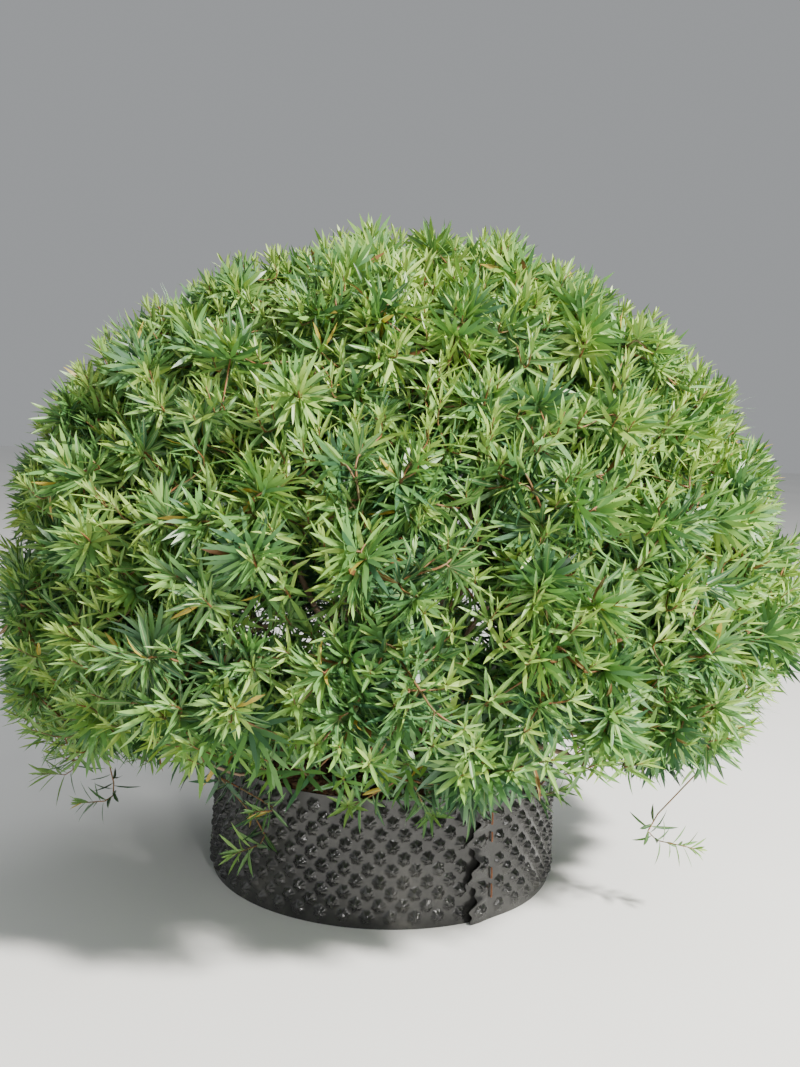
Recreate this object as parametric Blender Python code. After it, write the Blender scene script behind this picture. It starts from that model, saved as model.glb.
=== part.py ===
"""Potted tree spurge: a round crown of leafy shoots on one short stem, in a rolled and studded pot.

Metres, +Z up. The origin is the centre of the pot's flat underside, the front is -Y and the pot's seam
is at the front right. The stem stands on the soil, forks in its head into boughs, and each bough carries
one mass of twigs and leaves that keeps to its own cell: the directions from the head that are nearer to
its axis than to any other mass's axis.
"""

import math
import random

import bmesh
import bpy
from mathutils import Matrix, Vector

# Pot: one studded sheet rolled into a ring, its ends overlapping at the seam
POT_HEIGHT = 0.185
BASE_RADIUS = 0.270
RIM_RADIUS = 0.262
SHEET = 0.002
STUD_HEIGHT = 0.0065
HALF_COLUMNS = 100
HALF_ROWS = 11
OVERLAP_COLUMNS = 4
RAMP_COLUMNS = 8
SEAM_ANGLE = math.radians(-61)
FLAP_GAP = 0.0005
FREE_EDGE_LIFT = 0.004
TIE_COLUMN = OVERLAP_COLUMNS - 2
TIE_RADIUS = 0.0013
TIES = ((0.148, 0.018), (0.121, 0.014), (0.068, 0.016), (0.042, 0.020))

# What the pot holds
CLEARANCE = 0.0003
FLOOR_THICKNESS = 0.003
SOIL_EDGE_HEIGHT = 0.169
SOIL_TOP = 0.175
SOIL_TABLE_RADIUS = 0.050
FLOOR_SIDES = 40

# Stem, from its flat cut on the soil to the head that the boughs leave
HEAD = Vector((-0.005, 0.002, 0.250))
HEAD_RADIUS = 0.030
HEAD_RINGS = (-40.0, -20.0, -5.0, 15.0, 31.0, 47.0, 66.0, 84.0)
NECK_RADIUS = 0.019
FLARE_RADIUS = 0.036
FLARE_LOBES = 5

# Boughs
BOUGH_FOOT_RADIUS = 0.0060
BOUGH_TIP_RADIUS = 0.0040
BOUGH_POINTS = 4
BOUGH_COLLAR = 0.008
BOUGH_BOW = 0.016

# Crown, out to the tips of its leaves: a dome above its centre, fuller and flatter below it
CROWN_CENTRE = Vector((0.013, 0.0, 0.410))
CROWN_RADIUS = 0.600
CROWN_ABOVE = 0.560
CROWN_BELOW = 0.330
DOME_POWER = 2.1
SKIRT_POWER = 4.0
SKIRT_HEIGHT = 0.200
SKIRT_DROOP = 0.050
LOWEST_SLOPE = -0.48
TOP_TUFT = 0.035

# Growth rule: how many shoots, how far towards its tips a stem forks, and how it thins
SHOOTS = 76
FORK_STEP = 0.42
FORK_FOLLOW = 0.35
FORK_JITTER = 0.010
TWIG_RADIUS = 0.0018
TWIG_GROWTH = 0.42
STEM_COLLAR = 0.020
RISE = 0.50

# Leafy shoots, which swell to a spindle so that their leaves are well rooted
SHOOT_LENGTH = 0.100
SHOOT_RADIUS = 0.0095
SHOOT_MIDDLE = 0.45
TIP_INSET = 0.068
CELL_PULL = 0.10
TRAILING_SIZE = 0.62
TRAILING_TIPS = (
    Vector((-0.440, -0.130, 0.130)),
    Vector((-0.530, 0.020, 0.120)),
    Vector((0.425, -0.205, 0.125)),
    Vector((-0.205, -0.250, 0.120)),
)

# Leaves, each of which stands for several of the real ones
LEAVES_PER_SHOOT = 7
LEAF_LENGTH = 0.110
LEAF_WIDTH = 0.034
LEAF_THICKNESS = 0.003
LEAF_WIDEST = 0.50
LEAF_DROOP = 0.10
LEAF_SIZES = (1.0, 0.82, 0.66)
GOLDEN_ANGLE = math.radians(137.508)

# Space that a mass keeps to its neighbours and to the pot
CELL_MARGIN = 0.0015
POT_MARGIN = 0.016
RIM_MARGIN = 0.006

# Masses: name, how many in the ring, azimuth of the first, and four slopes and lengths: the cell's axis,
# the bough where it leaves the head, the bough's tip as seen from the head, and its distance
RINGS = (
    ("top", 1, 0.0, 90.0, 88.0, 90.0, 0.36),
    ("upper", 5, -120.0, 58.0, 47.0, 58.0, 0.31),
    ("side", 7, -154.3, 27.0, 15.0, 26.0, 0.27),
    ("skirt", 7, 180.0, -14.0, -5.0, -6.0, 0.31),
)


def material(name, colour, roughness, metallic=0.0):
    """A plain Principled material, made once for each name."""
    found = bpy.data.materials.get(name)
    if found:
        return found
    made = bpy.data.materials.new(name)
    made.use_nodes = True
    shader = made.node_tree.nodes["Principled BSDF"]
    shader.inputs["Base Color"].default_value = (*colour, 1.0)
    shader.inputs["Roughness"].default_value = roughness
    shader.inputs["Metallic"].default_value = metallic
    made.diffuse_color = (*colour, 1.0)
    return made


def black_plastic():
    return material("black plastic sheet", (0.035, 0.035, 0.034), 0.28)


def rusty_wire():
    return material("rusty wire", (0.25, 0.10, 0.045), 0.85, 0.3)


def potting_soil():
    return material("potting soil", (0.060, 0.036, 0.024), 0.95)


def bark():
    return material("spurge bark", (0.21, 0.15, 0.095), 0.85)


def foliage():
    return material("spurge foliage", (0.150, 0.215, 0.075), 0.6)


def add_object(name, mesh, skin, parent=None):
    """Put a mesh in the scene as one named piece with one material."""
    mesh.materials.clear()
    mesh.materials.append(skin)
    piece = bpy.data.objects.new(name, mesh)
    bpy.context.scene.collection.objects.link(piece)
    piece.parent = parent
    return piece


def finish_mesh(builder, name):
    """Turn a bmesh into a mesh with its faces pointing out."""
    bmesh.ops.recalc_face_normals(builder, faces=builder.faces)
    mesh = bpy.data.meshes.new(name)
    builder.to_mesh(mesh)
    builder.free()
    return mesh


def smooth_step(value):
    value = min(max(value, 0.0), 1.0)
    return value * value * (3.0 - 2.0 * value)


def sheet_radius(height):
    """Outer radius of the plain sheet, which leans in a little from the base to the rim."""
    return BASE_RADIUS + (RIM_RADIUS - BASE_RADIUS) * height / POT_HEIGHT


def sheet_angle(column):
    """The sheet starts under the flap and runs clockwise, so its last column is the free edge."""
    step = math.tau / HALF_COLUMNS
    return SEAM_ANGLE + (OVERLAP_COLUMNS - column) * step


def sheet_lift(column):
    """How far the sheet has climbed over its own beginning, and how far the free edge stands off."""
    climb = smooth_step((column - HALF_COLUMNS + RAMP_COLUMNS) / (RAMP_COLUMNS - 1))
    stand_off = smooth_step((column - HALF_COLUMNS - 1) / (OVERLAP_COLUMNS - 1))
    return climb * (SHEET + FLAP_GAP) + stand_off * FREE_EDGE_LIFT


def stud_height(column, row):
    """Studs stand on every second crossing, but not at the edges, under the flap or under the ties."""
    last_column = HALF_COLUMNS + OVERLAP_COLUMNS
    at_edge = row in (0, HALF_ROWS) or column == last_column
    under_flap = column <= OVERLAP_COLUMNS
    under_ties = column == last_column - TIE_COLUMN
    if at_edge or under_flap or under_ties or (column + row) % 2:
        return 0.0
    return STUD_HEIGHT


def polar(radius, angle, height):
    return Vector((radius * math.cos(angle), radius * math.sin(angle), height))


def make_pot_wall(parent):
    """The rolled sheet: a studded outer side, a plain inner side, two rims and two ends."""
    builder = bmesh.new()
    columns = range(HALF_COLUMNS + OVERLAP_COLUMNS + 1)
    outer = []
    inner = []
    for column in columns:
        angle = sheet_angle(column)
        lift = sheet_lift(column)
        side = []
        for row in range(HALF_ROWS + 1):
            height = POT_HEIGHT * row / HALF_ROWS
            radius = sheet_radius(height) + lift + stud_height(column, row)
            side.append(builder.verts.new(polar(radius, angle, height)))
        outer.append(side)
        inner.append([builder.verts.new(polar(sheet_radius(height) + lift - SHEET, angle, height))
                      for height in (0.0, POT_HEIGHT)])
    for column in columns[:-1]:
        here, beyond = outer[column], outer[column + 1]
        for row in range(HALF_ROWS):
            corners = (here[row], beyond[row], beyond[row + 1], here[row + 1])
            if (column + row) % 2:
                corners = corners[1:] + corners[:1]
            # The quad is cut along the line between its two low corners, so that the studs stay sharp
            a, b, c, d = corners
            builder.faces.new((a, b, d))
            builder.faces.new((b, c, d))
        bottom, top = inner[column]
        next_bottom, next_top = inner[column + 1]
        builder.faces.new((bottom, next_bottom, next_top, top))
        builder.faces.new((here[0], beyond[0], next_bottom, bottom))
        builder.faces.new((here[-1], beyond[-1], next_top, top))
    for column in (columns[0], columns[-1]):
        bottom, top = inner[column]
        for row in range(HALF_ROWS):
            builder.faces.new((bottom, outer[column][row], outer[column][row + 1]))
        builder.faces.new((bottom, outer[column][-1], top))
    return add_object("pot_wall", finish_mesh(builder, "pot wall"), black_plastic(), parent)


def room_in_pot(height):
    """Radius inside the wall's flat facets, less the clearance."""
    return (sheet_radius(height) - SHEET) * math.cos(math.pi / HALF_COLUMNS) - CLEARANCE


def turned(profile, sides):
    """A closed turned shape from (radius, height) pairs, flat at both ends."""
    builder = bmesh.new()
    rings = [[builder.verts.new(polar(radius, math.tau * side / sides, height)) for side in range(sides)]
             for radius, height in profile]
    for below, above in zip(rings, rings[1:]):
        for side in range(sides):
            following = (side + 1) % sides
            builder.faces.new((below[side], below[following], above[following], above[side]))
    builder.faces.new(rings[0])
    builder.faces.new(rings[-1])
    return builder


def make_pot_base(parent):
    radius = room_in_pot(FLOOR_THICKNESS)
    builder = turned(((radius, 0.0), (radius, FLOOR_THICKNESS)), FLOOR_SIDES)
    return add_object("pot_base", finish_mesh(builder, "pot base"), black_plastic(), parent)


def make_soil(parent):
    """The fill, gently mounded, with a level table in the middle for the stem's foot."""
    foot = FLOOR_THICKNESS + CLEARANCE
    shoulder = 0.5 * (SOIL_EDGE_HEIGHT + SOIL_TOP) + 0.001
    profile = (
        (room_in_pot(foot), foot),
        (room_in_pot(SOIL_EDGE_HEIGHT), SOIL_EDGE_HEIGHT),
        (0.62 * RIM_RADIUS, shoulder),
        (SOIL_TABLE_RADIUS, SOIL_TOP),
    )
    return add_object("soil", finish_mesh(turned(profile, FLOOR_SIDES), "soil"), potting_soil(), parent)


def make_seam_ties(parent):
    """Four short wires that lie upright in the flap's plain valley, with their ends turned in."""
    column = HALF_COLUMNS + OVERLAP_COLUMNS - TIE_COLUMN
    angle = sheet_angle(column)
    stand_off = (TIE_RADIUS + CLEARANCE) * 1.12
    for number, (middle, length) in enumerate(TIES, start=1):
        curve = bpy.data.curves.new(f"seam tie {number}", "CURVE")
        curve.dimensions = "3D"
        curve.bevel_depth = TIE_RADIUS
        curve.bevel_resolution = 1
        curve.use_fill_caps = True
        spline = curve.splines.new("POLY")
        steps = (-0.5, -0.3, 0.3, 0.5)
        bulge = (0.0, 0.0007, 0.0007, 0.0)
        spline.points.add(len(steps) - 1)
        for point, step, out in zip(spline.points, steps, bulge):
            height = middle + step * length
            radius = sheet_radius(height) + sheet_lift(column) + stand_off + out
            point.co = (*polar(radius, angle, height), 1.0)
        curve.materials.append(rusty_wire())
        tie = bpy.data.objects.new(f"seam_tie_{number}", curve)
        bpy.context.scene.collection.objects.link(tie)
        tie.parent = parent


def make_trunk():
    """The stem: lobed root flare, narrow neck and a round head, leaning from the pot's middle."""
    foot = SOIL_TOP + CLEARANCE
    neck = HEAD.z - HEAD_RADIUS * 0.92
    profile = []
    for share in (0.0, 0.16, 0.34, 0.58, 0.86):
        flare = (1.0 - share) ** 2.4
        radius = NECK_RADIUS + (FLARE_RADIUS - NECK_RADIUS) * flare
        profile.append((radius, foot + (neck - foot) * share, flare))
    for turn in HEAD_RINGS:
        slope = math.radians(turn)
        profile.append((HEAD_RADIUS * math.cos(slope), HEAD.z + HEAD_RADIUS * math.sin(slope), 0.0))
    sides = 20
    builder = bmesh.new()
    rings = []
    for radius, height, flare in profile:
        along = min(1.0, (height - foot) / (neck - foot))
        ring = []
        for side in range(sides):
            angle = math.tau * side / sides
            lobed = radius * (1.0 + 0.13 * flare * math.cos(FLARE_LOBES * angle + 0.8))
            point = polar(lobed, angle, height)
            point.x += HEAD.x * along
            point.y += HEAD.y * along
            ring.append(builder.verts.new(point))
        rings.append(ring)
    for below, above in zip(rings, rings[1:]):
        for side in range(sides):
            following = (side + 1) % sides
            builder.faces.new((below[side], below[following], above[following], above[side]))
    builder.faces.new(rings[0])
    builder.faces.new(rings[-1])
    trunk = add_object("trunk", finish_mesh(builder, "trunk"), bark())
    trunk.data.shade_smooth()
    return trunk


def direction(azimuth, elevation):
    azimuth = math.radians(azimuth)
    elevation = math.radians(elevation)
    level = math.cos(elevation)
    return Vector((level * math.cos(azimuth), level * math.sin(azimuth), math.sin(elevation)))


def plan_masses():
    """One entry for each mass: its name, its cell's axis, and the path of its bough."""
    masses = []
    for ring, count, first, slope, leaving, ending, reach in RINGS:
        for number in range(count):
            azimuth = first + 360.0 * number / count
            name = ring if count == 1 else f"{ring}_{number + 1}"
            bow = random.Random(name).uniform(-BOUGH_BOW, BOUGH_BOW)
            masses.append({
                "name": name,
                "axis": direction(azimuth, slope),
                "bough": bough_path(direction(azimuth, leaving), direction(azimuth, ending) * reach, bow),
            })
    return masses


def bough_path(leaving, span, bow):
    """A gentle arch from the head's skin, square to it, to the place where the foliage begins."""
    start = HEAD + leaving * (HEAD_RADIUS + CLEARANCE)
    collar = start + leaving * BOUGH_COLLAR
    across = Vector((-leaving.y, leaving.x, 0.0)).normalized()
    end = HEAD + span + across * bow
    middle = collar + leaving * (span.length * 0.45)
    path = [start, collar]
    for step in range(1, BOUGH_POINTS):
        share = step / (BOUGH_POINTS - 1)
        path.append(collar * (1 - share) ** 2 + middle * (2 * share * (1 - share)) + end * share ** 2)
    return path


def make_bough(mass):
    """One tapering limb: a curve with a round section and flat ends."""
    curve = bpy.data.curves.new(f"bough {mass['name']}", "CURVE")
    curve.dimensions = "3D"
    curve.bevel_depth = BOUGH_FOOT_RADIUS
    curve.bevel_resolution = 1
    curve.use_fill_caps = True
    spline = curve.splines.new("POLY")
    spline.points.add(len(mass["bough"]) - 1)
    for number, (point, place) in enumerate(zip(spline.points, mass["bough"])):
        share = number / (len(mass["bough"]) - 1)
        point.co = (*place, 1.0)
        point.radius = 1.0 + (BOUGH_TIP_RADIUS / BOUGH_FOOT_RADIUS - 1.0) * share
    curve.materials.append(bark())
    bough = bpy.data.objects.new(f"bough_{mass['name']}", curve)
    bpy.context.scene.collection.objects.link(bough)


def skirt_height(azimuth):
    """The crown's underside, which hangs lower on the left."""
    return SKIRT_HEIGHT - SKIRT_DROOP * max(0.0, -math.cos(azimuth)) ** 3


def crown_reach(heading):
    """Distance from the crown's centre to its outline in one direction."""
    power, tall = (DOME_POWER, CROWN_ABOVE) if heading.z > 0 else (SKIRT_POWER, CROWN_BELOW)
    azimuth = math.atan2(heading.y, heading.x)
    level = math.hypot(heading.x, heading.y) / CROWN_RADIUS
    rise = abs(heading.z) / tall
    reach = (level ** power + rise ** power) ** (-1.0 / power)
    reach += TOP_TUFT * math.exp(-(level * CROWN_RADIUS / 0.15) ** 2) * (heading.z > 0)
    reach *= 1.0 + 0.018 * math.sin(3.0 * azimuth + 1.0) * math.cos(heading.z * 4.0)
    floor = skirt_height(azimuth) - CROWN_CENTRE.z
    if heading.z * reach < floor:
        reach = floor / heading.z
    return reach


def shoot_tips(count, inset):
    """Shoot tips spread evenly over the crown's skin by the golden angle, and the trailing ones.

    Each tip is (place, size).
    """
    tips = []
    for number in range(count):
        height = 1.0 - (1.0 - LOWEST_SLOPE) * (number + 0.5) / count
        level = math.sqrt(1.0 - height * height)
        azimuth = number * GOLDEN_ANGLE
        heading = Vector((level * math.cos(azimuth), level * math.sin(azimuth), height))
        tips.append((CROWN_CENTRE + heading * (crown_reach(heading) - inset), 1.0))
    return tips + [(place, TRAILING_SIZE) for place in TRAILING_TIPS]


def in_cell(point, mass, masses):
    """True where the point is nearer to this mass's axis than to any other, by the margin."""
    from_head = point - HEAD
    for other in masses:
        if other is not mass:
            border = (mass["axis"] - other["axis"]).normalized()
            if from_head.dot(border) < CELL_MARGIN:
                return False
    return True


def clear_of_pot(point):
    if point.z > POT_HEIGHT + RIM_MARGIN:
        return True
    return math.hypot(point.x, point.y) > BASE_RADIUS + POT_MARGIN and point.z > 0.02


def fits(points, mass, masses):
    return all(in_cell(point, mass, masses) and clear_of_pot(point) for point in points)


def shoot_heading(tip):
    """Shoots turn outward and up; low ones lie nearly level."""
    outward = (tip - CROWN_CENTRE).normalized()
    outward.z = max(outward.z, -0.15)
    return (outward + Vector((0.0, 0.0, RISE))).normalized()


def split_tips(tips):
    """The tips in two halves, parted along the axis in which they are spread most."""
    places = [place for place, _ in tips]
    spans = [max(place[axis] for place in places) - min(place[axis] for place in places)
             for axis in range(3)]
    widest = spans.index(max(spans))
    ordered = sorted(tips, key=lambda tip: tip[0][widest])
    half = len(ordered) // 2
    return ordered[:half], ordered[half:]


def twig_radius(tips):
    return TWIG_RADIUS * len(tips) ** TWIG_GROWTH


def grow_limbs(start, heading, tips, chance):
    """Fork from one stem to all tips: at each fork half of them go on with the stem, half leave it.

    Each limb is a list of (point, radius), and the first limb is the stem itself.
    """
    stem = [(start, twig_radius(tips))]
    sides = []
    while len(tips) > 1:
        middle = sum((place for place, _ in tips), Vector()) / len(tips)
        node = start + (middle - start) * FORK_STEP
        node = node.lerp(start + heading * (node - start).length, FORK_FOLLOW)
        node += Vector([chance.uniform(-FORK_JITTER, FORK_JITTER) for _ in range(3)])
        heading = (node - start).normalized()
        start = node
        stem.append((node, twig_radius(tips)))
        leaving, tips = split_tips(tips)
        sides += grow_limbs(node, heading, leaving, chance)
    return [stem + shoot_profile(*tips[0])] + sides


def shoot_profile(tip, size):
    """The leafy end of a limb: it swells to its middle, the tip's place, and then runs to a point."""
    heading = shoot_heading(tip)
    length = SHOOT_LENGTH * size
    return [
        (tip - heading * length * SHOOT_MIDDLE, TWIG_RADIUS),
        (tip, SHOOT_RADIUS * size),
        (tip + heading * length * (1.0 - SHOOT_MIDDLE), 0.0),
    ]


def limb_mesh(limb):
    """A three-sided limb, square to its path at every point, with a flat foot and a pointed end."""
    places = [place for place, _ in limb]
    builder = bmesh.new()
    rings = []
    side = (places[1] - places[0]).orthogonal()
    for number, (place, radius) in enumerate(limb[:-1]):
        before = places[max(number - 1, 0)]
        along = (places[number + 1] - place).normalized()
        if number:
            along = (along + (place - before).normalized()).normalized()
        side = (side - along * side.dot(along)).normalized()
        ring = []
        for turn in range(3):
            spoke = Matrix.Rotation(math.tau * turn / 3, 3, along) @ side
            ring.append(builder.verts.new(place + spoke * radius))
        rings.append(ring)
    point = builder.verts.new(places[-1])
    for below, above in zip(rings, rings[1:]):
        for turn in range(3):
            following = (turn + 1) % 3
            builder.faces.new((below[turn], below[following], above[following], above[turn]))
    for turn in range(3):
        builder.faces.new((rings[-1][turn], rings[-1][(turn + 1) % 3], point))
    builder.faces.new(rings[0])
    return finish_mesh(builder, "limb")


def leaf_mesh():
    """A blade of six faces: a raised midrib over a flat underside that bends down at its widest place."""
    mesh = bpy.data.meshes.new("leaf")
    widest = LEAF_LENGTH * LEAF_WIDEST
    points = [
        (0.0, 0.0, 0.0),
        (LEAF_LENGTH, 0.0, -LEAF_LENGTH * LEAF_DROOP),
        (widest, LEAF_WIDTH / 2, 0.0),
        (widest, -LEAF_WIDTH / 2, 0.0),
        (widest, 0.0, LEAF_THICKNESS),
    ]
    root, tip, left, right, rib = range(5)
    faces = [(root, right, rib), (root, rib, left), (root, left, right),
             (tip, rib, right), (tip, left, rib), (tip, right, left)]
    mesh.from_pydata(points, [], faces)
    return mesh


def frame_along(origin, heading, upper):
    """A placement with local X along the heading and local Z on the side that `upper` points to."""
    along = heading.normalized()
    across = upper.cross(along)
    if across.length < 1e-4:
        across = Vector((0.0, 1.0, 0.0)).cross(along)
    across.normalize()
    up = along.cross(across)
    turn = Matrix((along, across, up)).transposed().to_4x4()
    return Matrix.Translation(origin) @ turn


def leaf_places(tip, size, chance):
    """Placements of one shoot's leaves, in a spiral; the outer ones spread and the inner ones stand."""
    heading = shoot_heading(tip)
    side = heading.orthogonal().normalized()
    first = chance.uniform(0.0, math.tau)
    foot = tip - heading * (SHOOT_LENGTH * size * SHOOT_MIDDLE)
    for number in range(LEAVES_PER_SHOOT):
        share = number / (LEAVES_PER_SHOOT - 1)
        spread = math.radians(80.0 - 46.0 * share + chance.uniform(-7.0, 7.0))
        around = Matrix.Rotation(first + number * GOLDEN_ANGLE, 3, heading) @ side
        blade = heading * math.cos(spread) + around * math.sin(spread)
        root = foot + heading * (SHOOT_LENGTH * size * (0.30 + 0.32 * share))
        yield frame_along(root, blade, heading + Vector((0.0, 0.0, 0.3)))


def grow_mass(mass, masses, tips, leaf, collection):
    """Fill the collection with one mass's limbs and leaves, and return its stem.

    A limb that would leave the cell is left out, and a leaf is cut down first.
    """
    chance = random.Random("mass " + mass["name"])
    path = mass["bough"]
    heading = (path[-1] - path[-2]).normalized()
    root = path[-1] + heading * CLEARANCE
    limbs = grow_limbs(root + heading * STEM_COLLAR, heading, tips, chance)
    limbs[0].insert(0, (root, twig_radius(tips)))
    stem = bpy.data.objects.new("stem", limb_mesh(limbs[0]))
    for limb in limbs[1:]:
        mesh = limb_mesh(limb)
        if fits([vertex.co for vertex in mesh.vertices], mass, masses):
            collection.objects.link(bpy.data.objects.new("limb", mesh))
    for tip, size in tips:
        for place in leaf_places(tip, size, chance):
            add_leaf(mass, masses, leaf, place, size * chance.uniform(0.92, 1.0), collection)
    return stem


def add_leaf(mass, masses, leaf, place, size, collection):
    for cut in LEAF_SIZES:
        placement = place @ Matrix.Scale(size * cut, 4)
        if fits([placement @ vertex.co for vertex in leaf.vertices], mass, masses):
            piece = bpy.data.objects.new("leaf", leaf)
            piece.matrix_world = placement
            collection.objects.link(piece)
            return


def keep_one_body(mesh):
    """Keep the largest connected shell: loose scraps go, and a sealed hollow's skin goes too."""
    builder = bmesh.new()
    builder.from_mesh(mesh)
    bmesh.ops.remove_doubles(builder, verts=builder.verts, dist=1e-6)
    builder.verts.ensure_lookup_table()
    seen = set()
    shells = []
    for start in builder.verts:
        if start.index in seen:
            continue
        seen.add(start.index)
        shell, waiting = [], [start]
        while waiting:
            vertex = waiting.pop()
            shell.append(vertex)
            for edge in vertex.link_edges:
                other = edge.other_vert(vertex)
                if other.index not in seen:
                    seen.add(other.index)
                    waiting.append(other)
        shells.append(shell)
    largest = max(shells, key=len)
    for shell in shells:
        if shell is not largest:
            bmesh.ops.delete(builder, geom=shell, context="VERTS")
    builder.to_mesh(mesh)
    builder.free()


def join_mass(mass, stem, collection):
    """Join the collection's pieces to the stem with one union, apply it and clear the pieces away."""
    bpy.context.scene.collection.objects.link(stem)
    stem.name = f"foliage_{mass['name']}"
    union = stem.modifiers.new("union", "BOOLEAN")
    union.operation = "UNION"
    union.operand_type = "COLLECTION"
    union.collection = collection
    union.solver = "EXACT"
    bpy.context.view_layer.update()
    graph = bpy.context.evaluated_depsgraph_get()
    joined = bpy.data.meshes.new_from_object(stem.evaluated_get(graph))
    stem.modifiers.clear()
    stem.data = joined
    keep_one_body(joined)
    joined.materials.clear()
    joined.materials.append(foliage())
    for piece in list(collection.objects):
        bpy.data.objects.remove(piece)
    bpy.data.collections.remove(collection)


def make_foliage(masses):
    """Deal the shoot tips out to the masses by the nearest axis and build each mass."""
    leaf = leaf_mesh()
    shares = {mass["name"]: [] for mass in masses}
    for place, size in shoot_tips(SHOOTS, TIP_INSET):
        from_head = place - HEAD
        nearest = max(masses, key=lambda mass: from_head.dot(mass["axis"]))
        drawn = from_head.lerp(nearest["axis"] * from_head.length, CELL_PULL)
        shares[nearest["name"]].append((HEAD + drawn.normalized() * from_head.length, size))
    for mass in masses:
        pieces = bpy.data.collections.new(f"pieces {mass['name']}")
        bpy.context.scene.collection.children.link(pieces)
        stem = grow_mass(mass, masses, shares[mass["name"]], leaf, pieces)
        join_mass(mass, stem, pieces)


def main():
    for leftover in list(bpy.data.objects):
        bpy.data.objects.remove(leftover)
    pot = bpy.data.objects.new("pot", None)
    bpy.context.scene.collection.objects.link(pot)
    make_pot_wall(pot)
    make_pot_base(pot)
    make_soil(pot)
    make_seam_ties(pot)
    make_trunk()
    masses = plan_masses()
    for mass in masses:
        make_bough(mass)
    make_foliage(masses)


main()
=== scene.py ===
"""Potted tree spurge, dressed: leaves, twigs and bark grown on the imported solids, and a studded pot."""

import math
import random

import bpy
import numpy as np
from bpy.props import FloatProperty, FloatVectorProperty, IntProperty, PointerProperty
from mathutils import Matrix, Vector


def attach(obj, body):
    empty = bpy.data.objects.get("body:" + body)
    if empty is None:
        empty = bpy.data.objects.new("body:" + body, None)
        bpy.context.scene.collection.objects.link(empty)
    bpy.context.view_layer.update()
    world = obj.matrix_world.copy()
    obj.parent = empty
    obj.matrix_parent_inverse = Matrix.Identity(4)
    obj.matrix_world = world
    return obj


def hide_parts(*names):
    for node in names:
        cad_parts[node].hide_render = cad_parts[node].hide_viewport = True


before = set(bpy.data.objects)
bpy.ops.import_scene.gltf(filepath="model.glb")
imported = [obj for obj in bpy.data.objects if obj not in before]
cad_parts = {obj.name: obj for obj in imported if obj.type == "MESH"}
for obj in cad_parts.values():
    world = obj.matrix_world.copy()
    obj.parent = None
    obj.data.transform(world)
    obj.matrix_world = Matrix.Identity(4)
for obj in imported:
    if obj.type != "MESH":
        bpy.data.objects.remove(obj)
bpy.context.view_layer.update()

bl_info = {
    "name": "Potted Tree Spurge",
    "version": (1, 0, 0),
    "blender": (4, 5, 0),
    "location": "3D View > Sidebar > Spurge",
    "description": "Grows a potted tree spurge's leaves, twigs and bark, and makes its studded pot",
    "category": "Object",
}

# Sizes are in metres, and angles in degrees unless radians() wraps them

# Pot: the same rolled sheet as the solid, with finer studs
POT_HEIGHT = 0.185
BASE_RADIUS = 0.270
RIM_RADIUS = 0.262
SHEET = 0.002
HALF_COLUMNS = 100
HALF_ROWS = 11
OVERLAP_COLUMNS = 4
RAMP_COLUMNS = 8
SEAM_ANGLE = math.radians(-61)
FLAP_GAP = 0.0005
FREE_EDGE_LIFT = 0.004
TIE_COLUMN = OVERLAP_COLUMNS - 2
FINE_STEPS = 9
FLAP_COLUMNS = 2.0
WAVE_FADE_COLUMNS = (2.0, 4.0)
PLEATS = 6
PLEAT_DEPTH = 0.55
FOOT_PLEAT_DEPTH = 0.07
STUD_POWER = 1.5
STUD_VARIETY = 0.10
STUD_TURN_STEPS = (1.7, 0.9)
STUD_VARIETY_STEPS = (12.9, 4.1)
SHARP_EDGE = math.radians(50)

# Waves of the sheet: how deep, how many round the pot, how many per metre of height, and where they begin
SHEET_WAVES = (
    (0.0008, 9.0, 18.0, 0.0),
    (0.0005, 23.0, -31.0, 1.0),
    (0.0004, 41.0, 60.0, 0.0),
)
EDGE_WAVES = (
    (0.0065, 0.0, 120.0, 0.0),
    (0.0035, 0.0, 330.0, 1.0),
)
EDGE_CURL = 0.0030
EDGE_CURL_RATE = 95.0

# Soil and mulch
SOIL_EDGE_HEIGHT = 0.169
SOIL_TOP = 0.175
MULCH_RADIUS = 0.245
MULCH_HOLE = 0.045
CHIP_SEED = 11
CHIP_LIFT = 0.0015
CHIP_PILE = 0.004
CHIP_HALF_LENGTHS = (0.005, 0.014)
CHIP_WIDTH_SHARES = (0.3, 0.6)
CHIP_HALF_THICKNESSES = (0.0008, 0.0022)
CHIP_TILT = 0.22
CHIP_RAGGED = (0.7, 1.1)
BOX_CORNERS = np.array([(x, y, z) for z in (-1, 1) for y in (-1, 1) for x in (-1, 1)], dtype=float)
BOX_FACES = np.array(((0, 2, 3, 1), (4, 5, 7, 6), (0, 1, 5, 4), (2, 6, 7, 3), (0, 4, 6, 2), (1, 3, 7, 5)))
CHIP_COLOURS = (
    (0.140, 0.060, 0.030),
    (0.085, 0.042, 0.026),
    (0.200, 0.115, 0.065),
)

# Stem
CLEARANCE = 0.0003
HEAD = Vector((-0.005, 0.002, 0.250))
HEAD_RADIUS = 0.030
NECK_RADIUS = 0.019
FLARE_RADIUS = 0.036
FLARE_LOBES = 5
FLARE_POWER = 2.4
FLARE_TOP = 0.205
FLARE_FADE = 0.03
LOBE_DEPTH = 0.13
LOBE_TURN = 0.8
NECK_DROP = 0.92
NECK_SHARES = np.linspace(0.0, 0.86, 16)
HEAD_SLOPES = np.radians(np.linspace(-40.0, 88.0, 20))
STEM_SIDES = 40

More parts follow.
